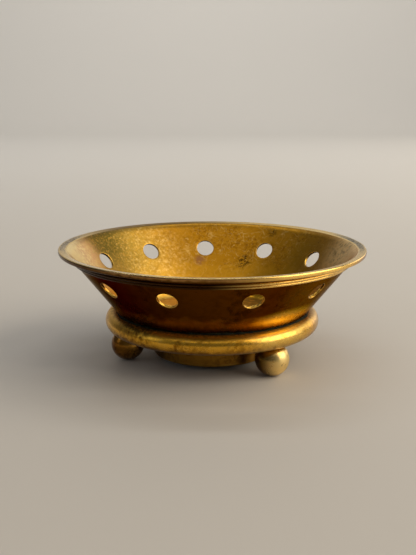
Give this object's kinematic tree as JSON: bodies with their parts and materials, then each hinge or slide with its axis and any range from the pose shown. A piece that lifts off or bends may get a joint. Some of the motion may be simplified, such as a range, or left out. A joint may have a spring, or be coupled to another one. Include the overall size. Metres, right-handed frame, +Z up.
{
  "type": "incense burner",
  "caption": "Shallow flared brass bowl with a flat lip and a row of round vents, on a half-round base ring with ball feet and a low drum underneath.",
  "frame": {"origin": "on the table, under the centre of the bowl", "axes": "+Z up along the bowl's axis, -Y towards the front, with one ball foot at the front right, one at the left and one at the rear"},
  "size_m": [0.12, 0.12, 0.045],
  "materials": {
    "bowl_brass": "aged brass, golden inside and dark brown patina outside",
    "ring_brass": "hand-polished brass with dark residue in the seams",
    "drum_brass": "dark brown tarnished brass",
    "foot_brass": "polished brass with brown tarnish",
    "fixing_brass": "dull machined brass"
  },
  "bodies": {
    "root": {"bowl": "bowl_brass", "base_ring": "ring_brass", "base_drum": "drum_brass", "ball_foot_right": "foot_brass", "ball_foot_rear": "foot_brass", "ball_foot_left": "foot_brass", "foot_stud_right": "fixing_brass", "foot_stud_rear": "fixing_brass", "foot_stud_left": "fixing_brass", "centre_screw": "fixing_brass", "nut_washer": "fixing_brass", "centre_nut": "fixing_brass"}
  },
  "joints": []
}
